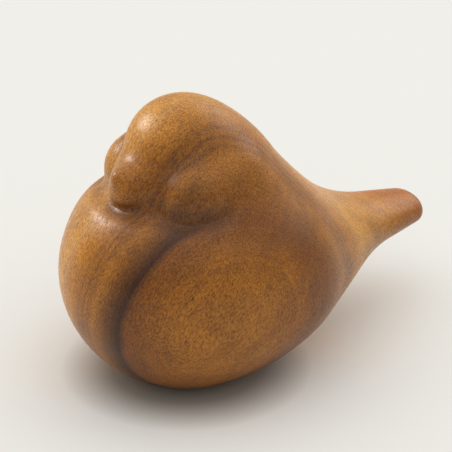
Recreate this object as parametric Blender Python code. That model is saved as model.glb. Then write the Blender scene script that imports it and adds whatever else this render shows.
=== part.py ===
"""Bird ocarina: a carved wooden bird that is a vessel flute.

The body is carved from one block and hollowed from below. A turned plug closes the hollow and
carries the flat that the bird rests on. The tail is the mouthpiece: a block glued into a channel
on its underside leaves a thin windway, which blows across a window at the root of the tail. Four
finger holes are drilled up through the underside.

Frame: metres, +Z up, the beak towards -Y, the tail towards +Y, and the mid-plane at X = 0. The
origin is on the floor, at the lowest point of the belly. Lengths below are millimetres.
"""

import math

import bmesh
import bpy
import numpy as np
from mathutils import Matrix, Vector

MM = 0.001

# Carved form: balls, an egg and tapered rolls that flow into each other.
SINK = 2.0                              # how deep the floor cuts the belly
BELLY_RADII = (31.5, 31.2, 29.5)
BELLY_CENTRE = (0.0, 0.0, BELLY_RADII[2] - SINK)
NAPE = (0.0, 5.6, 49.0)                 # the back runs from the nape to the rump
NAPE_RADIUS = 18.7
RUMP = (0.0, 24.3, 25.1)
RUMP_RADIUS = 12.6
TAIL_ROOT_RADIUS = 11.6
TAIL_TIP = (0.0, 74.4, 23.0)
TAIL_TIP_RADIUS = 4.7
TAIL_WIDTH = 1.58                       # how much wider than high the tail is
HEAD_CENTRE = (0.0, -0.7, 59.0)
HEAD_RADIUS = 13.9
CHEEK = (9.3, -6.4, 52.6)               # on the +X side, and mirrored
CHEEK_RADIUS = 8.7
JOWL = (8.0, 6.0, 53.5)                 # each cheek runs back into the neck
JOWL_RADIUS = 10.5
CROP = (12.5, -7.5, 35.0)               # the full shoulder below each cheek
CROP_RADIUS = 13.6
FACE = (0.0, -3.2, 53.0)                # the face tapers to the beak
FACE_RADIUS = 12.3
BEAK = (0.0, -13.4, 53.9)
BEAK_RADIUS = 5.9
TIP = (0.0, -18.5, 55.6)                # the beak ends in a small point
TIP_RADIUS = 2.5

# How softly each form flows into those before it.
CROP_BLEND = 3.0
BACK_BLEND = 9.3
TAIL_BLEND = 26.3
HEAD_BLEND = 6.4
CHEEK_BLEND = 1.0
BEAK_BLEND = 1.2
TIP_BLEND = 1.0

# Hollow, and the plug that closes it.
CHAMBER_CENTRE = (0.0, 5.5, 28.0)
CHAMBER_RADII = (26.0, 25.0, 23.0)
PLUG_Y = 2.0                            # the plug's axis is this far behind the origin
PLUG_RADIUS = 14.5
PLUG_RIM = 4.7                          # thickness of the plug outside its spigot
SPIGOT_RADIUS = 11.7
SPIGOT_TOP = 7.4
FIT = 0.3                               # gap round every glued piece

# Voicing, in the mid-plane: the windway, the window and its sharp edge.
WINDOW_FRONT = 44.5
WINDOW_BACK = 50.5
WINDOW_HALF_WIDTH = 5.0
LIP_HEIGHT = 16.9                       # height of the window's sharp edge
RAMP_FRONT = 29.0                       # the ramp falls from the lip at 45 degrees
PASSAGE_TOP = 23.0
CEILING_HEIGHT = 18.6                   # ceiling of the windway where it meets the window
CEILING_SLOPE = 0.18
WINDWAY_HALF_WIDTH = 4.0
WINDWAY_DEPTH = 1.2
BEHIND_TAIL = 90.0                      # past the tip of the tail, where cutters end
UNDER_TAIL = 5.0                        # height, below the tail's underside, where cutters begin
UNDER_FLOOR = -5.0                      # height, below the floor, where turned cutters begin

# Finger holes: diameter, and place of the one on the +X side of each pair.
FINGER_HOLES = ((6.0, 17.0, 13.5), (5.0, 10.5, 24.0))
DRILL_LENGTH = 24.0
DRILL_MIDDLE = 8.0                      # height of the middle of the drilled length

# Skin: shaped from fine facets, which then grow where the surface is nearly flat.
SKIN_CELL = 1.3
SKIN_PASSES = 3
SLIDES = 4
SKIN_TRIANGLES = 7600
BALL_SPACING = 3.0
SLAB = 200.0                            # side of the block that cuts away all below the floor

WOODS = {
    "body": (0.42, 0.22, 0.085, 1.0),
    "base_plug": (0.36, 0.185, 0.075, 1.0),
    "windway_block": (0.47, 0.26, 0.11, 1.0),
}
ROUGHNESS = 0.42


# ---------------------------------------------------------------- the carved surface

def egg_distance(points, centre, radii):
    """Approximate signed distance to an ellipsoid."""
    offset = (points - centre) / radii
    near = np.linalg.norm(offset, axis=1)
    steep = np.linalg.norm(offset / radii, axis=1) + 1e-9
    return near * (near - 1.0) / steep


def roll_distance(points, start, end, start_radius, end_radius):
    """Signed distance to a roll: two balls and the cone that touches both."""
    start = np.array(start)
    axis = np.array(end) - start
    length2 = axis @ axis
    taper = start_radius - end_radius
    slant2 = length2 - taper * taper
    offset = points - start
    along = offset @ axis
    beyond = along - length2
    across2 = ((offset * length2 - along[:, None] * axis) ** 2).sum(axis=1)
    along2 = along * along * length2
    beyond2 = beyond * beyond * length2
    edge = np.sign(taper) * taper * taper * across2
    cone = (np.sqrt(across2 * slant2 / length2) + along * taper) / length2 - start_radius
    start_ball = np.sqrt(across2 + along2) / length2 - start_radius
    end_ball = np.sqrt(across2 + beyond2) / length2 - end_radius
    distance = np.where(np.sign(along) * slant2 * along2 < edge, start_ball, cone)
    return np.where(np.sign(beyond) * slant2 * beyond2 > edge, end_ball, distance)


def flow(first, second, softness):
    """Join two forms with a fillet."""
    share = np.clip(0.5 + 0.5 * (second - first) / softness, 0.0, 1.0)
    return second + (first - second) * share - softness * share * (1.0 - share)


def bird_distance(points):
    """Approximate signed distance to the carved outside, in millimetres."""
    belly = egg_distance(points, BELLY_CENTRE, BELLY_RADII)
    back = roll_distance(points, NAPE, RUMP, NAPE_RADIUS, RUMP_RADIUS)
    narrowed = points / (TAIL_WIDTH, 1.0, 1.0)
    tail = roll_distance(narrowed, RUMP, TAIL_TIP, TAIL_ROOT_RADIUS, TAIL_TIP_RADIUS)
    head = np.linalg.norm(points - HEAD_CENTRE, axis=1) - HEAD_RADIUS
    mirrored = points.copy()
    mirrored[:, 0] = abs(mirrored[:, 0])
    cheeks = roll_distance(mirrored, CHEEK, JOWL, CHEEK_RADIUS, JOWL_RADIUS)
    crops = np.linalg.norm(mirrored - CROP, axis=1) - CROP_RADIUS
    beak = flow(roll_distance(points, FACE, BEAK, FACE_RADIUS, BEAK_RADIUS),
                roll_distance(points, BEAK, TIP, BEAK_RADIUS, TIP_RADIUS), TIP_BLEND)

    bird = flow(belly, crops, CROP_BLEND)
    bird = flow(bird, back, BACK_BLEND)
    bird = flow(bird, tail, TAIL_BLEND)
    bird = flow(bird, head, HEAD_BLEND)
    bird = flow(bird, cheeks, CHEEK_BLEND)
    return flow(bird, beak, BEAK_BLEND)


def slide_to_surface(points, longest_step):
    """Move points along the slope of bird_distance towards where it is zero."""
    reach = 0.05
    height = bird_distance(points)
    slope = np.empty_like(points)
    for k in range(3):
        shift = np.zeros(3)
        shift[k] = reach
        slope[:, k] = bird_distance(points + shift) - bird_distance(points - shift)
    slope /= 2.0 * reach
    step = height / np.maximum((slope * slope).sum(axis=1), 0.05)
    step = np.clip(step, -longest_step, longest_step)
    return points - step[:, None] * slope


def settle(mesh):
    """Bring every point of a mesh onto the carved surface."""
    points = np.empty(len(mesh.vertices) * 3)
    mesh.vertices.foreach_get("co", points)
    points = points.reshape(-1, 3) / MM
    for _ in range(SLIDES):
        points = slide_to_surface(points, 2.0 * SKIN_CELL)
    mesh.vertices.foreach_set("co", (points * MM).ravel())
    mesh.update()


# ---------------------------------------------------------------- building tools

def new_object(name, mesh):
    thing = bpy.data.objects.new(name, mesh)
    bpy.context.scene.collection.objects.link(thing)
    return thing


def mesh_from(name, shape):
    mesh = bpy.data.meshes.new(name)
    shape.to_mesh(mesh)
    shape.free()
    return mesh


def evaluated_mesh(thing):
    """The object's mesh with its modifiers carried out."""
    graph = bpy.context.evaluated_depsgraph_get()
    return bpy.data.meshes.new_from_object(thing.evaluated_get(graph))


def make_guide(thing):
    thing.hide_render = True
    thing.display_type = "WIRE"
    return thing


def add_ball(shape, centre, radii, segments=24, rings=14):
    place = Matrix.Translation(Vector(centre) * MM) @ Matrix.Diagonal((*(r * MM for r in radii), 1.0))
    bmesh.ops.create_uvsphere(shape, u_segments=segments, v_segments=rings, radius=1.0, matrix=place)


def add_ball_row(shape, start, end, start_radius, end_radius, width=1.0):
    """A row of balls along a tapered roll."""
    start, end = Vector(start), Vector(end)
    count = math.ceil((end - start).length / BALL_SPACING)
    for i in range(count + 1):
        radius = start_radius + (end_radius - start_radius) * i / count
        add_ball(shape, start.lerp(end, i / count), (radius * width, radius, radius))


def turned(name, profile, axis_y, segments=48):
    """A closed solid of revolution from (radius, height) points, the first and last on the axis."""
    shape = bmesh.new()
    loop = [shape.verts.new((radius * MM, 0.0, height * MM)) for radius, height in profile]
    edges = [shape.edges.new(pair) for pair in zip(loop, loop[1:])]
    bmesh.ops.spin(shape, geom=loop + edges, cent=(0, 0, 0), axis=(0, 0, 1),
                   angle=math.tau, steps=segments, use_merge=True)
    bmesh.ops.remove_doubles(shape, verts=shape.verts, dist=1e-6)
    bmesh.ops.translate(shape, verts=shape.verts, vec=(0, axis_y * MM, 0))
    bmesh.ops.recalc_face_normals(shape, faces=shape.faces)
    return new_object(name, mesh_from(name, shape))


def side_prism(name, outline, half_width):
    """A prism across the mid-plane whose outline is given as (y, z) points."""
    shape = bmesh.new()
    corners = [shape.verts.new((-half_width * MM, y * MM, z * MM)) for y, z in outline]
    side = shape.faces.new(corners)
    pushed = bmesh.ops.extrude_face_region(shape, geom=[side])["geom"]
    moved = [item for item in pushed if isinstance(item, bmesh.types.BMVert)]
    bmesh.ops.translate(shape, verts=moved, vec=(2 * half_width * MM, 0, 0))
    bmesh.ops.recalc_face_normals(shape, faces=shape.faces)
    return new_object(name, mesh_from(name, shape))


def combine(thing, tool, operation):
    modifier = thing.modifiers.new(tool.name, "BOOLEAN")
    modifier.operation = operation
    modifier.object = tool
    modifier.solver = "EXACT"


def cut(thing, tool):
    combine(thing, make_guide(tool), "DIFFERENCE")


def finish(thing, wood):
    """Give a piece its own wood and smooth shading."""
    material = bpy.data.materials.new(thing.name)
    material.use_nodes = True
    shader = material.node_tree.nodes["Principled BSDF"]
    shader.inputs["Base Color"].default_value = WOODS[wood]
    shader.inputs["Roughness"].default_value = ROUGHNESS
    shader.inputs["Metallic"].default_value = 0.0
    thing.data.materials.clear()
    thing.data.materials.append(material)
    thing.data.shade_smooth()


# ---------------------------------------------------------------- shapes

def carved_mesh():
    """The whole outside as one closed skin, remeshed while it settles on its final surface."""
    shape = bmesh.new()
    add_ball(shape, BELLY_CENTRE, BELLY_RADII)
    add_ball(shape, HEAD_CENTRE, [HEAD_RADIUS] * 3)
    for side in (-1, 1):
        cheek, jowl = ((side * x, y, z) for x, y, z in (CHEEK, JOWL))
        add_ball_row(shape, cheek, jowl, CHEEK_RADIUS, JOWL_RADIUS)
    add_ball_row(shape, NAPE, RUMP, NAPE_RADIUS, RUMP_RADIUS)
    add_ball_row(shape, RUMP, TAIL_TIP, TAIL_ROOT_RADIUS, TAIL_TIP_RADIUS, TAIL_WIDTH)
    add_ball_row(shape, FACE, BEAK, FACE_RADIUS, BEAK_RADIUS)
    add_ball_row(shape, BEAK, TIP, BEAK_RADIUS, TIP_RADIUS)
    skin = new_object("skin", mesh_from("skin", shape))
    remesh = skin.modifiers.new("fuse", "REMESH")
    remesh.mode = "VOXEL"
    remesh.voxel_size = SKIN_CELL * MM

    for _ in range(SKIN_PASSES):
        mesh = evaluated_mesh(skin)
        skin.data = mesh
        settle(mesh)

    skin.modifiers.clear()
    triangles = 2 * len(skin.data.polygons)
    skin.modifiers.new("thin_out", "DECIMATE").ratio = SKIN_TRIANGLES / triangles
    mesh = evaluated_mesh(skin)
    settle(mesh)
    bpy.data.objects.remove(skin)
    return mesh


def floor_slab():
    """Everything below the floor, to cut the flat that the bird rests on."""
    shape = bmesh.new()
    bmesh.ops.create_cube(shape, size=SLAB * MM, matrix=Matrix.Translation((0, 0, -SLAB / 2 * MM)))
    return new_object("floor", mesh_from("floor", shape))


def ceiling(y):
    """Height of the windway's ceiling at distance y along the bird."""
    return CEILING_HEIGHT + CEILING_SLOPE * (y - WINDOW_BACK)


def make_body(skin_mesh):
    body = new_object("body", skin_mesh.copy())
    cut(body, floor_slab())
    chamber = bmesh.new()
    add_ball(chamber, CHAMBER_CENTRE, CHAMBER_RADII, segments=32, rings=18)
    cut(body, new_object("chamber", mesh_from("chamber", chamber)))

    seat = PLUG_RADIUS + FIT
    bore = SPIGOT_RADIUS + FIT
    ledge = PLUG_RIM + FIT
    cut(body, turned("plug_seat", ((0, UNDER_FLOOR), (seat, UNDER_FLOOR), (seat, ledge), (bore, ledge),
                                   (bore, SPIGOT_TOP + 6.0), (0, SPIGOT_TOP + 6.0)), PLUG_Y))

    ramp_fall = WINDOW_FRONT - RAMP_FRONT
    chamber_back = CHAMBER_CENTRE[1] + CHAMBER_RADII[1]
    cut(body, side_prism("window", (
        (chamber_back - 5.0, PASSAGE_TOP), (chamber_back - 5.0, LIP_HEIGHT),
        (WINDOW_FRONT, LIP_HEIGHT), (RAMP_FRONT, LIP_HEIGHT - ramp_fall),
        (WINDOW_BACK, LIP_HEIGHT - ramp_fall), (WINDOW_BACK, PASSAGE_TOP)), WINDOW_HALF_WIDTH))
    cut(body, side_prism("block_channel", (
        (WINDOW_BACK - FIT, ceiling(WINDOW_BACK)), (WINDOW_BACK - FIT, UNDER_TAIL),
        (BEHIND_TAIL, UNDER_TAIL), (BEHIND_TAIL, ceiling(BEHIND_TAIL))), WINDOW_HALF_WIDTH + FIT))

    for number, (diameter, x, y) in enumerate(FINGER_HOLES):
        for side, label in ((-1, "right"), (1, "left")):
            hole = bmesh.new()
            bmesh.ops.create_cone(hole, cap_ends=True, segments=24, radius1=diameter / 2 * MM,
                                  radius2=diameter / 2 * MM, depth=DRILL_LENGTH * MM,
                                  matrix=Matrix.Translation(Vector((side * x, y, DRILL_MIDDLE)) * MM))
            name = f"finger_hole_{label}_{number + 1}"
            cut(body, new_object(name, mesh_from(name, hole)))
    finish(body, "body")


def make_base_plug(skin_mesh):
    """The turned plug, its underside dressed flush with the belly."""
    plug = turned("base_plug", ((0, UNDER_FLOOR), (PLUG_RADIUS, UNDER_FLOOR), (PLUG_RADIUS, PLUG_RIM),
                                (SPIGOT_RADIUS, PLUG_RIM), (SPIGOT_RADIUS, SPIGOT_TOP),
                                (0, SPIGOT_TOP)), PLUG_Y)
    combine(plug, make_guide(new_object("belly_skin", skin_mesh.copy())), "INTERSECT")
    cut(plug, floor_slab())
    finish(plug, "base_plug")


def make_windway_block(skin_mesh):
    """The block under the windway, dressed flush with the underside and the tip of the tail."""
    block = side_prism("windway_block", (
        (WINDOW_BACK, ceiling(WINDOW_BACK) - FIT), (WINDOW_BACK, UNDER_TAIL),
        (BEHIND_TAIL, UNDER_TAIL), (BEHIND_TAIL, ceiling(BEHIND_TAIL) - FIT)), WINDOW_HALF_WIDTH)
    combine(block, make_guide(new_object("tail_skin", skin_mesh.copy())), "INTERSECT")
    deep = FIT + WINDWAY_DEPTH
    start, end = WINDOW_BACK - 1.0, BEHIND_TAIL + 1.0
    cut(block, side_prism("windway", (
        (start, ceiling(start) + 1.0), (start, ceiling(start) - deep),
        (end, ceiling(end) - deep), (end, ceiling(end) + 1.0)), WINDWAY_HALF_WIDTH))
    finish(block, "windway_block")


def main():
    for thing in list(bpy.data.objects):
        bpy.data.objects.remove(thing)
    skin_mesh = carved_mesh()
    make_body(skin_mesh)
    make_base_plug(skin_mesh)
    make_windway_block(skin_mesh)


main()
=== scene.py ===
"""Looks of the bird ocarina: the carved wood, its pale floor, the light and the camera.

The pieces follow the part's forms at a finer grain, with softly rounded seams and rims. The face
differs from the part's: its muzzle and cheeks are fuller, and it has soft creases.
Frame: metres, +Z up, the beak towards -Y, the tail towards +Y, the mid-plane at X = 0.
Lengths named below are millimetres.
"""

import math

import bmesh
import bpy
import numpy as np
from mathutils import Euler, Matrix, Vector


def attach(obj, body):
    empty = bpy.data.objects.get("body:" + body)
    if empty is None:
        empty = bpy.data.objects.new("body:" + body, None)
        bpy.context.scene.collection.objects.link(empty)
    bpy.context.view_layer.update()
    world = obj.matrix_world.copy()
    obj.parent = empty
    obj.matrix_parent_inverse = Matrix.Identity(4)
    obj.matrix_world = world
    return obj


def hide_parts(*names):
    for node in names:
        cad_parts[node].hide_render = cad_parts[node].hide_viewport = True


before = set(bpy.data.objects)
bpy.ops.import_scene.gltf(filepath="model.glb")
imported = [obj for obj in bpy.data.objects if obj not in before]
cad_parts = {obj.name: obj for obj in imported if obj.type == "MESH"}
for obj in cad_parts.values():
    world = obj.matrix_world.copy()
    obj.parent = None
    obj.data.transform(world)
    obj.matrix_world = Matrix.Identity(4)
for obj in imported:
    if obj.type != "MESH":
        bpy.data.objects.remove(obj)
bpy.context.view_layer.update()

MM = 0.001

# Carved form, as in the part except for the cheek, jowl, face, beak, tip and creases.
SINK = 2.0
BELLY_RADII = (31.5, 31.2, 29.5)
BELLY_CENTRE = (0.0, 0.0, BELLY_RADII[2] - SINK)
NAPE = (0.0, 5.6, 49.0)
NAPE_RADIUS = 18.7
RUMP = (0.0, 24.3, 25.1)
RUMP_RADIUS = 12.6
TAIL_ROOT_RADIUS = 11.6
TAIL_TIP = (0.0, 74.4, 23.0)
TAIL_TIP_RADIUS = 4.7
TAIL_WIDTH = 1.58
HEAD_CENTRE = (0.0, -0.7, 59.0)
HEAD_RADIUS = 13.9
CHEEK = (10.6, -5.0, 52.3)
CHEEK_RADIUS = 9.1
CROP = (12.5, -7.5, 35.0)
CROP_RADIUS = 13.6
JOWL = (8.6, 6.0, 53.0)
JOWL_RADIUS = 10.6
FACE = (0.0, -6.6, 53.0)
FACE_RADIUS = 11.8
BEAK = (0.0, -13.7, 53.4)
BEAK_RADIUS = 6.8
TIP = (0.0, -18.7, 56.4)
TIP_RADIUS = 2.5
BACK_BLEND = 9.3
TAIL_BLEND = 26.3
HEAD_BLEND = 6.4
CHEEK_BLEND = 2.0
CROP_BLEND = 3.0
BEAK_BLEND = 1.2
TIP_BLEND = 1.0

# Soft creases beside the beak and under the cheeks, on the +X side and mirrored:
# (x, y, z, radius) of the rolls that carve them.
CREASES = (
    ((8.4, -17.6, 52.4, 1.0), (11.6, -12.2, 59.2, 1.3), (12.6, -7.0, 65.2, 0.2)),
    ((0.0, -21.0, 51.3, 1.2), (8.6, -18.8, 51.6, 1.3), (18.0, -13.2, 50.6, 1.1),
     (21.2, -4.6, 51.3, 0.2)),
)
CREASE_JOIN = 1.5
CREASE_BLEND = 5.0

# Hollow, plug, voicing and finger holes, as in the part.
CHAMBER_CENTRE = (0.0, 5.5, 28.0)
CHAMBER_RADII = (26.0, 25.0, 23.0)
PLUG_Y = 2.0
PLUG_RADIUS = 14.5
PLUG_RIM = 4.7
SPIGOT_RADIUS = 11.7
SPIGOT_TOP = 7.4
FIT = 0.3
WINDOW_FRONT = 44.5
WINDOW_BACK = 50.5
WINDOW_HALF_WIDTH = 5.0
LIP_HEIGHT = 16.9
RAMP_FRONT = 29.0
PASSAGE_TOP = 23.0
CEILING_HEIGHT = 18.6
CEILING_SLOPE = 0.18
WINDWAY_HALF_WIDTH = 4.0
WINDWAY_DEPTH = 1.2
BEHIND_TAIL = 90.0
FINGER_HOLES = ((6.0, 17.0, 13.5), (5.0, 10.5, 24.0))      # (diameter, x, y)
DRILL_LENGTH, DRILL_MIDDLE = 24.0, 8.0
SEAM_REACHES = (2.5, 1.2)                   # the skin is split finer this near to a seam
UNDER_BELLY = -SINK - 3.0
UNDER_TAIL = 5.0
SLAB = 200.0                                # side of the block that cuts the rest face flat
SHARP_ANGLE = math.radians(38)

# Fine skin.
SKIN_CELL = 0.75
SKIN_PASSES = 3
SLIDES = 4
BALL_SPACING = 3.0
SEAM_ROUNDING = 0.45                    # how far seams and rims are rounded over
SKIN_INSET = 0.06                           # keeps the fine skin inside the part's coarser one
RAMP_MEETS_SKIN = 36.0                  # where the ramp comes out of the underside

# Camera.
AZIMUTH, ELEVATION = 51.0, 25.0
DISTANCE = 0.420
TARGET = Vector((0.0, 0.0130, 0.0350))
LENS = 133.8


# ---------------------------------------------------------------- the carved surface

def egg_distance(points, centre, radii):
    offset = (points - centre) / radii
    near = np.linalg.norm(offset, axis=1)
    steep = np.linalg.norm(offset / radii, axis=1) + 1e-9
    return near * (near - 1.0) / steep


def roll_distance(points, start, end, start_radius, end_radius):
    """Signed distance to a roll: two balls and the cone that touches both."""
    start = np.array(start)
    axis = np.array(end) - start
    length2 = axis @ axis
    taper = start_radius - end_radius
    slant2 = length2 - taper * taper
    offset = points - start
    along = offset @ axis
    beyond = along - length2
    across2 = ((offset * length2 - along[:, None] * axis) ** 2).sum(axis=1)
    along2 = along * along * length2
    beyond2 = beyond * beyond * length2
    edge = np.sign(taper) * taper * taper * across2
    cone = (np.sqrt(across2 * slant2 / length2) + along * taper) / length2 - start_radius
    start_ball = np.sqrt(across2 + along2) / length2 - start_radius
    end_ball = np.sqrt(across2 + beyond2) / length2 - end_radius
    distance = np.where(np.sign(along) * slant2 * along2 < edge, start_ball, cone)
    return np.where(np.sign(beyond) * slant2 * beyond2 > edge, end_ball, distance)


def flow(first, second, softness):
    share = np.clip(0.5 + 0.5 * (second - first) / softness, 0.0, 1.0)
    return second + (first - second) * share - softness * share * (1.0 - share)


def crease_distance(mirrored):
    """Distance to the rolls that carve the creases, for points brought to the +X side."""
    nearest = np.full(len(mirrored), 100.0)
    for line in CREASES:
        for start, end in zip(line, line[1:]):
            piece = roll_distance(mirrored, start[:3], end[:3], start[3], end[3])
            nearest = flow(nearest, piece, CREASE_JOIN)
    return nearest


def bird_distance(points):
    """Approximate signed distance to the carved outside, in millimetres."""
    belly = egg_distance(points, BELLY_CENTRE, BELLY_RADII)
    back = roll_distance(points, NAPE, RUMP, NAPE_RADIUS, RUMP_RADIUS)
    narrowed = points / (TAIL_WIDTH, 1.0, 1.0)
    tail = roll_distance(narrowed, RUMP, TAIL_TIP, TAIL_ROOT_RADIUS, TAIL_TIP_RADIUS)
    head = np.linalg.norm(points - HEAD_CENTRE, axis=1) - HEAD_RADIUS
    mirrored = points.copy()
    mirrored[:, 0] = abs(mirrored[:, 0])
    cheeks = roll_distance(mirrored, CHEEK, JOWL, CHEEK_RADIUS, JOWL_RADIUS)
    beak = flow(roll_distance(points, FACE, BEAK, FACE_RADIUS, BEAK_RADIUS),
                roll_distance(points, BEAK, TIP, BEAK_RADIUS, TIP_RADIUS), TIP_BLEND)

    crop = np.linalg.norm(mirrored - CROP, axis=1) - CROP_RADIUS
    bird = flow(flow(belly, crop, CROP_BLEND), back, BACK_BLEND)
    bird = flow(bird, tail, TAIL_BLEND)
    bird = flow(bird, head, HEAD_BLEND)
    bird = -flow(-bird, crease_distance(mirrored), CREASE_BLEND)
    bird = flow(bird, cheeks, CHEEK_BLEND)
    return flow(bird, beak, BEAK_BLEND)


def ceiling(y):
    return CEILING_HEIGHT + CEILING_SLOPE * (y - WINDOW_BACK)


def seam_distance(points):
    """How far each point is from the nearest seam or rim of the underside."""
    x, y, z = points.T
    under = z < BELLY_CENTRE[2] - 8.0
    plug = abs(np.hypot(x, y - PLUG_Y) - PLUG_RADIUS - FIT / 2) - FIT / 2
    nearest = np.where(under, plug, np.inf)

    wide = abs(x) - WINDOW_HALF_WIDTH - FIT / 2
    high = z - ceiling(y) + FIT / 2
    outside = (np.hypot(np.maximum(wide, 0), np.maximum(high, 0))
               + np.minimum(np.maximum(wide, high), 0))
    channel = np.where(y > WINDOW_BACK, abs(outside) - FIT / 2, np.inf)
    in_window = (y > RAMP_MEETS_SKIN) & (y < WINDOW_BACK) & under
    window = np.where(in_window, abs(x) - WINDOW_HALF_WIDTH, np.inf)
    nearest = np.minimum(nearest, np.minimum(channel, window))
    for diameter, hole_x, hole_y in FINGER_HOLES:
        hole = np.hypot(abs(x) - hole_x, y - hole_y) - diameter / 2
        nearest = np.where(under, np.minimum(nearest, hole), nearest)
    return nearest


def rounded_distance(points):
    """The carved surface with its seams and rims rounded over."""
    inward = np.clip(SEAM_ROUNDING - seam_distance(points), 0.0, SEAM_ROUNDING)
    rounding = SEAM_ROUNDING - np.sqrt(SEAM_ROUNDING ** 2 - inward ** 2)
    return bird_distance(points) + SKIN_INSET + rounding


def settle(mesh, field):
    """Bring every point of a mesh onto a surface."""
    points = np.empty(len(mesh.vertices) * 3)
    mesh.vertices.foreach_get("co", points)
    points = points.reshape(-1, 3) / MM
    reach = 0.05
    for _ in range(SLIDES):
        slope = np.empty_like(points)
        for k in range(3):
            shift = np.zeros(3)
            shift[k] = reach
            slope[:, k] = bird_distance(points + shift) - bird_distance(points - shift)
        slope /= 2.0 * reach
        step = field(points) / np.maximum((slope * slope).sum(axis=1), 0.05)
        points -= np.clip(step, -2.0, 2.0)[:, None] * slope
    mesh.vertices.foreach_set("co", (points * MM).ravel())
    mesh.update()


def refine_seams(mesh, reach, cuts):
    """Split the facets close to seams, so that the rounding shows."""
    shape = bmesh.new()
    shape.from_mesh(mesh)
    shape.verts.ensure_lookup_table()
    points = np.array([vert.co for vert in shape.verts]) / MM
    close = seam_distance(points) < reach
    edges = [edge for edge in shape.edges
             if close[edge.verts[0].index] and close[edge.verts[1].index]]
    bmesh.ops.subdivide_edges(shape, edges=edges, cuts=cuts, use_grid_fill=True)
    bmesh.ops.triangulate(shape, faces=[face for face in shape.faces if len(face.verts) > 4])
    shape.to_mesh(mesh)
    shape.free()


# ---------------------------------------------------------------- building tools

def new_object(name, mesh):
    thing = bpy.data.objects.new(name, mesh)
    bpy.context.scene.collection.objects.link(thing)
    return thing


def mesh_from(name, shape):
    mesh = bpy.data.meshes.new(name)
    shape.to_mesh(mesh)
    shape.free()
    return mesh


def evaluated_mesh(thing):
    graph = bpy.context.evaluated_depsgraph_get()
    return bpy.data.meshes.new_from_object(thing.evaluated_get(graph))


def add_ball(shape, centre, radii, segments=24, rings=14):
    size = Matrix.Diagonal((*(r * MM for r in radii), 1.0))
    place = Matrix.Translation(Vector(centre) * MM) @ size
    bmesh.ops.create_uvsphere(shape, u_segments=segments, v_segments=rings, radius=1.0,
                              matrix=place)


def add_ball_row(shape, start, end, start_radius, end_radius, width=1.0):
    start, end = Vector(start), Vector(end)
    count = math.ceil((end - start).length / BALL_SPACING)
    for i in range(count + 1):
        radius = start_radius + (end_radius - start_radius) * i / count
        add_ball(shape, start.lerp(end, i / count), (radius * width, radius, radius))


def turned(name, profile, axis_y, segments=128):
    """A closed solid of revolution from (radius, height) points, the first and last on the axis."""
    shape = bmesh.new()
    loop = [shape.verts.new((radius * MM, 0.0, height * MM)) for radius, height in profile]
    edges = [shape.edges.new(pair) for pair in zip(loop, loop[1:])]
    bmesh.ops.spin(shape, geom=loop + edges, cent=(0, 0, 0), axis=(0, 0, 1),
                   angle=math.tau, steps=segments, use_merge=True)
    bmesh.ops.remove_doubles(shape, verts=shape.verts, dist=1e-6)
    bmesh.ops.translate(shape, verts=shape.verts, vec=(0, axis_y * MM, 0))
    bmesh.ops.recalc_face_normals(shape, faces=shape.faces)
    return new_object(name, mesh_from(name, shape))


def side_prism(name, outline, half_width):
    """A prism across the mid-plane whose outline is given as (y, z) points."""
    shape = bmesh.new()
    corners = [shape.verts.new((-half_width * MM, y * MM, z * MM)) for y, z in outline]
    side = shape.faces.new(corners)
    pushed = bmesh.ops.extrude_face_region(shape, geom=[side])["geom"]
    moved = [item for item in pushed if isinstance(item, bmesh.types.BMVert)]
    bmesh.ops.translate(shape, verts=moved, vec=(2 * half_width * MM, 0, 0))
    bmesh.ops.recalc_face_normals(shape, faces=shape.faces)
    return new_object(name, mesh_from(name, shape))


def combine(thing, tool, operation, wood=None):
    """Join a solid with a tool; faces that the tool leaves take the tool's wood."""
    if wood:
        tool.data.materials.clear()
        tool.data.materials.append(wood)
    modifier = thing.modifiers.new("combine", "BOOLEAN")
    modifier.operation = operation
    modifier.object = tool
    modifier.solver = "EXACT"
    modifier.material_mode = "TRANSFER"
    mesh = evaluated_mesh(thing)
    thing.modifiers.clear()
    thing.data = mesh
    bpy.data.objects.remove(tool)


# ---------------------------------------------------------------- shapes

def carved_mesh():
    shape = bmesh.new()
    add_ball(shape, BELLY_CENTRE, BELLY_RADII)
    add_ball(shape, HEAD_CENTRE, [HEAD_RADIUS] * 3)
    for side in (-1, 1):
        cheek, jowl = ((side * x, y, z) for x, y, z in (CHEEK, JOWL))
        add_ball_row(shape, cheek, jowl, CHEEK_RADIUS, JOWL_RADIUS)
    add_ball_row(shape, NAPE, RUMP, NAPE_RADIUS, RUMP_RADIUS)
    add_ball_row(shape, RUMP, TAIL_TIP, TAIL_ROOT_RADIUS, TAIL_TIP_RADIUS, TAIL_WIDTH)
    add_ball_row(shape, FACE, BEAK, FACE_RADIUS, BEAK_RADIUS)
    add_ball_row(shape, BEAK, TIP, BEAK_RADIUS, TIP_RADIUS)
    skin = new_object("skin", mesh_from("skin", shape))
    remesh = skin.modifiers.new("fuse", "REMESH")
    remesh.mode = "VOXEL"
    remesh.voxel_size = SKIN_CELL * MM
    for _ in range(SKIN_PASSES):
        mesh = evaluated_mesh(skin)
        skin.data = mesh
        settle(mesh, bird_distance)
    skin.modifiers.clear()
    mesh = skin.data
    for reach in SEAM_REACHES:
        refine_seams(mesh, reach, 1)
    settle(mesh, rounded_distance)
    bpy.data.objects.remove(skin)
    return mesh


def floor_slab():
    shape = bmesh.new()
    bmesh.ops.create_cube(shape, size=SLAB * MM, matrix=Matrix.Translation((0, 0, -SLAB / 2 * MM)))
    return new_object("floor_slab", mesh_from("floor_slab", shape))


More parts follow.
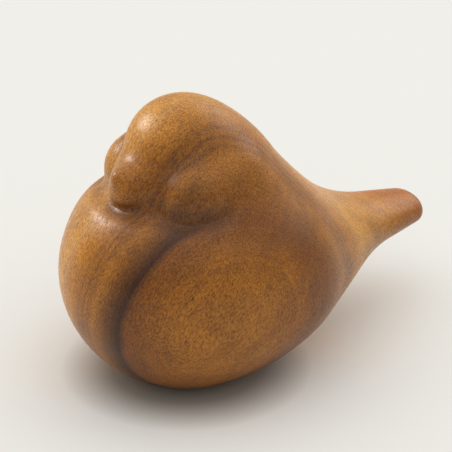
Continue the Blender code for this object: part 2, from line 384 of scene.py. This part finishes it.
def make_body(skin_mesh, wood, raw_wood):
    body = new_object("body_carved", skin_mesh.copy())
    body.data.materials.append(wood)
    combine(body, floor_slab(), "DIFFERENCE", wood)
    chamber = bmesh.new()
    add_ball(chamber, CHAMBER_CENTRE, CHAMBER_RADII, segments=96, rings=48)
    combine(body, new_object("chamber", mesh_from("chamber", chamber)), "DIFFERENCE", raw_wood)

    seat = PLUG_RADIUS + FIT
    bore = SPIGOT_RADIUS + FIT
    ledge = PLUG_RIM + FIT
    combine(body, turned("plug_seat", ((0, UNDER_BELLY), (seat, UNDER_BELLY), (seat, ledge),
                                       (bore, ledge), (bore, SPIGOT_TOP + 6.0),
                                       (0, SPIGOT_TOP + 6.0)), PLUG_Y),
            "DIFFERENCE", raw_wood)

    ramp_fall = WINDOW_FRONT - RAMP_FRONT
    chamber_back = CHAMBER_CENTRE[1] + CHAMBER_RADII[1]
    combine(body, side_prism("window", (
        (chamber_back - 5.0, PASSAGE_TOP), (chamber_back - 5.0, LIP_HEIGHT),
        (WINDOW_FRONT, LIP_HEIGHT), (RAMP_FRONT, LIP_HEIGHT - ramp_fall),
        (WINDOW_BACK, LIP_HEIGHT - ramp_fall), (WINDOW_BACK, PASSAGE_TOP)), WINDOW_HALF_WIDTH),
        "DIFFERENCE", raw_wood)
    combine(body, side_prism("block_channel", (
        (WINDOW_BACK - FIT, ceiling(WINDOW_BACK)), (WINDOW_BACK - FIT, UNDER_TAIL),
        (BEHIND_TAIL, UNDER_TAIL), (BEHIND_TAIL, ceiling(BEHIND_TAIL))), WINDOW_HALF_WIDTH + FIT),
        "DIFFERENCE", raw_wood)

    for diameter, x, y in FINGER_HOLES:
        for side in (-1, 1):
            middle = Vector((side * x, y, DRILL_MIDDLE)) * MM
            hole = bmesh.new()
            bmesh.ops.create_cone(hole, cap_ends=True, segments=64, radius1=diameter / 2 * MM,
                                  radius2=diameter / 2 * MM, depth=DRILL_LENGTH * MM,
                                  matrix=Matrix.Translation(middle))
            drill = new_object("finger_hole", mesh_from("finger_hole", hole))
            combine(body, drill, "DIFFERENCE", raw_wood)
    return body


def make_base_plug(skin_mesh, wood):
    edge = 0.35
    plug = turned("base_plug_turned", (
        (0, UNDER_BELLY), (PLUG_RADIUS, UNDER_BELLY), (PLUG_RADIUS, PLUG_RIM - edge),
        (PLUG_RADIUS - edge, PLUG_RIM),
        (SPIGOT_RADIUS, PLUG_RIM), (SPIGOT_RADIUS, SPIGOT_TOP - edge),
        (SPIGOT_RADIUS - edge, SPIGOT_TOP), (0, SPIGOT_TOP)), PLUG_Y)
    plug.data.materials.append(wood)
    combine(plug, new_object("belly_skin", skin_mesh.copy()), "INTERSECT", wood)
    combine(plug, floor_slab(), "DIFFERENCE", wood)
    return plug


def make_windway_block(skin_mesh, wood):
    block = side_prism("windway_block_fitted", (
        (WINDOW_BACK, ceiling(WINDOW_BACK) - FIT), (WINDOW_BACK, UNDER_TAIL),
        (BEHIND_TAIL, UNDER_TAIL), (BEHIND_TAIL, ceiling(BEHIND_TAIL) - FIT)), WINDOW_HALF_WIDTH)
    block.data.materials.append(wood)
    combine(block, new_object("tail_skin", skin_mesh.copy()), "INTERSECT", wood)
    deep = FIT + WINDWAY_DEPTH
    start, end = WINDOW_BACK - 1.0, BEHIND_TAIL + 1.0
    combine(block, side_prism("windway", (
        (start, ceiling(start) + 1.0), (start, ceiling(start) - deep),
        (end, ceiling(end) - deep), (end, ceiling(end) + 1.0)), WINDWAY_HALF_WIDTH),
        "DIFFERENCE", wood)
    return block


# ---------------------------------------------------------------- wood

PITH = Vector((0.0863, -0.0183, 0.0350))   # a point on the tree's axis, beside the bird
GRAIN_TILT = math.radians(31.5)
GRAIN_HEADING = math.radians(62.8)
RAMP_START, RAMP_END = 50.0, 135.0          # distances from the pith spanned by the colour ramp

# Colour of the oiled wood by distance from the pith: (distance, linear colour).
BODY_RINGS = (
    (50.0, (0.54, 0.220, 0.020)),
    (59.0, (0.46, 0.172, 0.010)),
    (60.0, (0.39, 0.145, 0.011)),
    (61.0, (0.44, 0.160, 0.009)),
    (65.0, (0.31, 0.105, 0.006)),
    (68.0, (0.27, 0.088, 0.005)),
    (71.0, (0.34, 0.123, 0.008)),
    (77.0, (0.50, 0.196, 0.018)),
    (78.8, (0.37, 0.138, 0.014)),
    (79.4, (0.48, 0.184, 0.018)),
    (80.4, (0.31, 0.115, 0.012)),
    (81.0, (0.48, 0.184, 0.014)),
    (82.0, (0.37, 0.144, 0.014)),
    (83.2, (0.49, 0.186, 0.010)),
    (86.0, (0.63, 0.256, 0.017)),
    (89.0, (0.69, 0.304, 0.046)),
    (90.4, (0.72, 0.351, 0.090)),
    (91.4, (0.79, 0.382, 0.065)),
    (100.0, (0.74, 0.341, 0.050)),
    (116.0, (0.57, 0.219, 0.024)),
    (121.0, (0.48, 0.159, 0.015)),
    (135.0, (0.50, 0.175, 0.022)),
)
DARK_RING = 68.0                            # abrupt inner edge of the dark growth ring
DARK_RING_END = 76.5
DARK_RING_SHADE = (0.24, 0.20, 0.18)
DARK_RING_FADE = (-0.016, -0.004)           # it is gone behind these Y places
RING_DRIFT, RING_WAVER = 1.0, 0.7           # how far the rings wander, slowly and quickly
FINE_RING_SHADE = (0.84, 0.79, 0.72)
CLOUD_SHADE = (0.76, 0.74, 0.74)
FIBRE_SHADE = (0.44, 0.36, 0.28)
PORE_SHADE = (0.50, 0.42, 0.36)
MUZZLE_SHADE_CENTRE = (3.0, -14.0, 54.0)          # centre of the painted shade round the muzzle
MUZZLE_SHADE_REACH = (7.0, 15.0)
# tint of the painted shade round the muzzle
MUZZLE_PAINTED_SHADE = (0.74, 0.66, 0.42)
TAILWARD_LIGHT_REACH = (0.004, 0.030)                 # painted light: from this Y the wood is painted paler, fully by this one
# tint of the painted light towards the tail
TAILWARD_PAINTED_LIGHT = (1.20, 1.22, 1.05)
BRIGHTEST = (0.80, 0.80, 0.80)              # no wood is paler than this
HOLLOW_LAYER = "hollow"
HOLLOW_REACH = 3.0                          # how far off the surface a hollow is felt
# tint of the painted shade and polish in the hollows
HOLLOW_PAINTED_SHADE = (0.24, 0.19, 0.14)
SPECULAR_LEVEL = 0.36
RELIEF_STRENGTH = 0.35
RELIEF_DEPTH = 0.00012                      # of the pores and fibres, in metres

# The plug and the block are cut from other places in other logs.
PLUG_PITH = Vector((0.0, 0.002, -0.075))
PLUG_TILT, PLUG_HEADING = math.radians(88), math.radians(20)
BLOCK_PITH = Vector((0.02, 0.002, -0.080))
BLOCK_TILT, BLOCK_HEADING = math.radians(90), math.radians(92)
BODY_POLISH, RAW_POLISH = 0.34, 0.75        # roughness of each wood
PLUG_POLISH, BLOCK_POLISH = 0.48, 0.45
RAW_TONE, PLUG_TONE, BLOCK_TONE = 1.1, 0.9, 1.15


class Nodes:
    """Small helper that adds shader nodes and links them."""

    def __init__(self, name):
        self.material = bpy.data.materials.new(name)
        self.material.use_nodes = True
        self.tree = self.material.node_tree
        self.shader = self.tree.nodes["Principled BSDF"]

    def add(self, kind, settings=None, **inputs):
        node = self.tree.nodes.new(kind)
        for key, value in (settings or {}).items():
            setattr(node, key, value)
        for key, value in inputs.items():
            self.feed(node.inputs[key.replace("_", " ")], value)
        return node

    def feed(self, socket, value):
        if isinstance(value, bpy.types.NodeSocket):
            self.tree.links.new(value, socket)
        else:
            socket.default_value = value

    def math(self, operation, *values):
        node = self.add("ShaderNodeMath", {"operation": operation})
        for socket, value in zip(node.inputs, values):
            self.feed(socket, value)
        return node.outputs[0]

    def vector_math(self, operation, *values):
        node = self.add("ShaderNodeVectorMath", {"operation": operation})
        for socket, value in zip(node.inputs, values):
            self.feed(socket, value)
        return node.outputs["Value" if operation == "LENGTH" else "Vector"]

    def noise(self, vector, scale, detail=2.0, roughness=0.5):
        return self.add("ShaderNodeTexNoise", {"noise_dimensions": "3D"}, Vector=vector,
                        Scale=scale, Detail=detail, Roughness=roughness)

    def span(self, value, low, high, to_low=0.0, to_high=1.0):
        node = self.add("ShaderNodeMapRange", {"clamp": True})
        for socket, number in zip(node.inputs, (value, low, high, to_low, to_high)):
            self.feed(socket, number)
        return node.outputs["Result"]

    def darken(self, colour, value, low, high, shade):
        """Multiply a colour by a shade: fully where value is high, not at all where it is low."""
        node = self.add("ShaderNodeMix", {"data_type": "RGBA", "blend_type": "MULTIPLY"})
        self.feed(node.inputs[0], self.span(value, low, high))
        self.feed(node.inputs[6], colour)
        self.feed(node.inputs[7], (*shade, 1.0))
        return node.outputs[2]


def wood_material(name, rings, pith, tilt, heading, polish, tone=1.0):
    """Solid wood in three dimensions: rings round the pith, fibres, pores and their relief."""
    n = Nodes(name)
    place = n.add("ShaderNodeTexCoord").outputs["Object"]
    grain = n.add("ShaderNodeMapping", {"vector_type": "TEXTURE"}, Vector=place,
                  Location=pith, Rotation=Euler((0.0, tilt, heading)),
                  Scale=(MM, MM, MM)).outputs[0]

    # the rings wander slowly, and hardly change along the fibres
    slow = n.vector_math("MULTIPLY", grain, (1.0, 1.0, 0.35))
    drift = n.noise(slow, 0.045, 2.0).outputs["Color"]
    drift = n.vector_math("MULTIPLY", n.vector_math("SUBTRACT", drift, (0.5, 0.5, 0.5)),
                          (RING_DRIFT, RING_DRIFT, 0.0))
    small = n.noise(n.vector_math("MULTIPLY", grain, (1.0, 1.0, 0.2)), 0.35, 2.0).outputs["Color"]
    small = n.vector_math("MULTIPLY", n.vector_math("SUBTRACT", small, (0.5, 0.5, 0.5)),
                          (RING_WAVER, RING_WAVER, 0.0))
    bent = n.vector_math("ADD", n.vector_math("ADD", grain, drift), small)
    across = n.vector_math("MULTIPLY", bent, (1.0, 1.0, 0.0))
    radius = n.vector_math("LENGTH", across)

    ramp = n.add("ShaderNodeValToRGB", Fac=n.span(radius, RAMP_START, RAMP_END))
    stops = ramp.color_ramp.elements
    stops.remove(stops[1])
    for number, (distance, colour) in enumerate(rings):
        at = (distance - RAMP_START) / (RAMP_END - RAMP_START)
        stop = stops[0] if number == 0 else stops.new(at)
        stop.position = at
        stop.color = (*(c * tone for c in colour), 1.0)
    colour = ramp.outputs["Color"]

    # the dark ring: abrupt on its inner side, gradual outwards, and only over the breast
    inner = n.span(radius, DARK_RING - 0.4, DARK_RING + 1.2)
    outer = n.span(radius, DARK_RING + 1.5, DARK_RING_END, 1.0, 0.0)
    lengthwise = n.add("ShaderNodeSeparateXYZ", Vector=place).outputs["Y"]
    front = n.span(lengthwise, *DARK_RING_FADE, 1.0, 0.0)
    ring = n.math("MULTIPLY", n.math("MULTIPLY", inner, outer), front)
    colour = n.darken(colour, ring, 0.0, 1.0, DARK_RING_SHADE)

    # faint fine rings
    ring_place = n.add("ShaderNodeCombineXYZ", X=radius, Y=0.0, Z=0.0).outputs[0]
    fine = n.noise(ring_place, 1.5, 3.0, 0.6).outputs[0]
    colour = n.darken(colour, fine, 0.48, 0.70, FINE_RING_SHADE)

    # clouds of tone
    cloud = n.noise(n.vector_math("MULTIPLY", grain, (1.0, 1.0, 0.5)), 0.16, 3.0, 0.6).outputs[0]
    colour = n.darken(colour, cloud, 0.42, 0.66, CLOUD_SHADE)

    # fibres and pores: long along the grain, narrow across it
    fibre = n.noise(n.vector_math("MULTIPLY", grain, (1.0, 1.0, 0.30)), 3.6, 3.0, 0.75).outputs[0]
    colour = n.darken(colour, fibre, 0.40, 0.60, FIBRE_SHADE)
    pore = n.noise(n.vector_math("MULTIPLY", grain, (1.0, 1.0, 0.22)), 3.0, 1.0, 0.5).outputs[0]
    pores = n.span(pore, 0.62, 0.72)
    colour = n.darken(colour, pores, 0.0, 1.0, PORE_SHADE)

    # painted shade round the muzzle, darker there
    from_beak = n.vector_math("SUBTRACT", place, tuple(c * MM for c in MUZZLE_SHADE_CENTRE))
    away = n.math("DIVIDE", n.vector_math("LENGTH", from_beak), MM)
    muzzle_shade = n.span(away, *MUZZLE_SHADE_REACH, 1.0, 0.0)
    colour = n.darken(colour, muzzle_shade, 0.0, 1.0, MUZZLE_PAINTED_SHADE)
    # painted light towards the tail, paler there
    pale = n.span(lengthwise, *TAILWARD_LIGHT_REACH)
    colour = n.darken(colour, pale, 0.0, 1.0, TAILWARD_PAINTED_LIGHT)

    # painted shade in the hollows, with polish gathered there
    hollow = n.add("ShaderNodeAttribute", {"attribute_name": HOLLOW_LAYER}).outputs["Fac"]
    colour = n.darken(colour, hollow, 0.10, 0.75, HOLLOW_PAINTED_SHADE)
    colour = n.vector_math("MINIMUM", colour, BRIGHTEST)
    n.feed(n.shader.inputs["Base Color"], colour)

    smooth = n.span(fibre, 0.3, 0.7, polish - 0.05, polish + 0.07)
    n.feed(n.shader.inputs["Roughness"], n.math("ADD", smooth, n.math("MULTIPLY", pores, 0.12)))
    n.shader.inputs["Specular IOR Level"].default_value = SPECULAR_LEVEL
    relief = n.math("ADD", n.math("MULTIPLY", pores, -1.0), n.math("MULTIPLY", fibre, -0.6))
    bump = n.add("ShaderNodeBump", Strength=RELIEF_STRENGTH, Distance=RELIEF_DEPTH, Height=relief)
    n.feed(n.shader.inputs["Normal"], bump.outputs["Normal"])
    return n.material


# ---------------------------------------------------------------- floor, light, camera

ROOM_SIDES, ROOM_TOP = 0.30, 1.26           # brightness of the room at eye level and overhead
FLOOR_COLOUR = (0.935, 0.935, 0.905)
# tint of the painted shadow under the belly
FLOOR_PAINTED_SHADOW = (0.46, 0.42, 0.38)
FLOOR_RADIUS = 4.0                          # in metres
PAINTED_SHADOW_START, PAINTED_SHADOW_END = 19.0, 32.0         # the floor's painted shadow fades out between these

# Each lamp: name, direction from the bird, distance and side in metres, watts, colour.
LAMPS = (
    ("key", (-0.80, -0.36, 0.50), 0.9, 0.24, 3.9, (1.0, 0.97, 0.92)),
    ("back", (-0.05, 0.82, 0.58), 1.6, 1.2, 8.0, (1.0, 0.99, 0.97)),
)


def make_floor():
    """A large pale disc with a painted shadow, a darker patch, under the belly."""
    shape = bmesh.new()
    bmesh.ops.create_circle(shape, cap_ends=True, segments=96, radius=FLOOR_RADIUS)
    floor = new_object("floor", mesh_from("floor", shape))
    n = Nodes("floor_paper")
    place = n.add("ShaderNodeTexCoord").outputs["Object"]
    away = n.math("DIVIDE", n.vector_math("LENGTH", place), MM)
    # painted shadow: the floor is darker near the belly
    near = n.span(away, PAINTED_SHADOW_START, PAINTED_SHADOW_END, 1.0, 0.0)
    pale = n.add("ShaderNodeRGB").outputs[0]
    pale.default_value = (*FLOOR_COLOUR, 1.0)
    n.feed(n.shader.inputs["Base Color"], n.darken(pale, near, 0.0, 1.0, FLOOR_PAINTED_SHADOW))
    n.shader.inputs["Roughness"].default_value = 0.8
    n.shader.inputs["Specular IOR Level"].default_value = 0.2
    floor.data.materials.append(n.material)


def add_light(name, towards, distance, size, power, colour, lit):
    """A square soft light from the direction given; it lights only the collection given."""
    lamp = bpy.data.lights.new(name, "AREA")
    lamp.shape = "SQUARE"
    lamp.size = size
    lamp.energy = power
    lamp.color = colour
    light = bpy.data.objects.new(name, lamp)
    direction = Vector(towards).normalized()
    light.location = TARGET + direction * distance
    light.rotation_euler = direction.to_track_quat("Z", "Y").to_euler()
    light.light_linking.receiver_collection = lit
    bpy.context.scene.collection.objects.link(light)


def make_world():
    """A soft pale room, brighter overhead; it alone lights the floor."""
    world = bpy.data.worlds.new("soft_room")
    world.use_nodes = True
    back = world.node_tree.nodes["Background"]
    back.inputs["Color"].default_value = (1.0, 0.99, 0.965, 1.0)
    nodes, links = world.node_tree.nodes, world.node_tree.links
    upward = nodes.new("ShaderNodeSeparateXYZ")
    strength = nodes.new("ShaderNodeMapRange")
    links.new(nodes.new("ShaderNodeTexCoord").outputs["Generated"], upward.inputs[0])
    links.new(upward.outputs["Z"], strength.inputs["Value"])
    strength.inputs["To Min"].default_value = ROOM_SIDES
    strength.inputs["To Max"].default_value = ROOM_TOP
    links.new(strength.outputs["Result"], back.inputs["Strength"])
    bpy.context.scene.world = world


def make_camera():
    azimuth, elevation = math.radians(AZIMUTH), math.radians(ELEVATION)
    back = Vector((math.sin(azimuth) * math.cos(elevation),
                   -math.cos(azimuth) * math.cos(elevation), math.sin(elevation)))
    data = bpy.data.cameras.new("camera")
    data.lens = LENS
    data.sensor_width = 36.0
    data.clip_start = 0.01
    camera = bpy.data.objects.new("camera", data)
    camera.location = TARGET + back * DISTANCE
    camera.rotation_euler = back.to_track_quat("Z", "Y").to_euler()
    bpy.context.scene.collection.objects.link(camera)
    bpy.context.scene.camera = camera


# ---------------------------------------------------------------- the scene

def mark_hollows(thing):
    """Store how hollow the outside is round each vertex, for the painted shade and the polish
    there.
    """
    mesh = thing.data
    points = np.empty(len(mesh.vertices) * 3)
    normals = np.empty(len(mesh.vertices) * 3)
    mesh.vertices.foreach_get("co", points)
    mesh.vertex_normals.foreach_get("vector", normals)
    probe = points.reshape(-1, 3) / MM + normals.reshape(-1, 3) * HOLLOW_REACH
    hollow = 1.0 - bird_distance(probe) / HOLLOW_REACH
    layer = mesh.attributes.new(HOLLOW_LAYER, "FLOAT", "POINT")
    layer.data.foreach_set("value", np.clip(hollow, 0.0, 1.0))


def smooth_faces(thing):
    thing.data.shade_smooth()
    thing.data.set_sharp_from_angle(angle=SHARP_ANGLE)


def main():
    body_wood = wood_material("body_wood", BODY_RINGS, PITH, GRAIN_TILT, GRAIN_HEADING,
                              BODY_POLISH)
    raw_wood = wood_material("raw_wood", BODY_RINGS, PITH, GRAIN_TILT, GRAIN_HEADING,
                             RAW_POLISH, RAW_TONE)
    plug_wood = wood_material("plug_wood", BODY_RINGS, PLUG_PITH, PLUG_TILT, PLUG_HEADING,
                              PLUG_POLISH, PLUG_TONE)
    block_wood = wood_material("block_wood", BODY_RINGS, BLOCK_PITH, BLOCK_TILT, BLOCK_HEADING,
                               BLOCK_POLISH, BLOCK_TONE)

    skin_mesh = carved_mesh()
    pieces = ((make_body(skin_mesh, body_wood, raw_wood), "body", "body_wood"),
              (make_base_plug(skin_mesh, plug_wood), "base_plug", "plug_wood"),
              (make_windway_block(skin_mesh, block_wood), "windway_block", "block_wood"))
    for piece, node, slot in pieces:
        smooth_faces(piece)
        mark_hollows(piece)
        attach(piece, "root")
        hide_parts(node)

    lit = bpy.data.collections.new("lit_by_lamps")
    for piece, _, _ in pieces:
        lit.objects.link(piece)
    make_floor()
    for lamp in LAMPS:
        add_light(*lamp, lit)
    make_world()
    make_camera()
    bpy.context.scene.view_settings.view_transform = "Standard"


main()
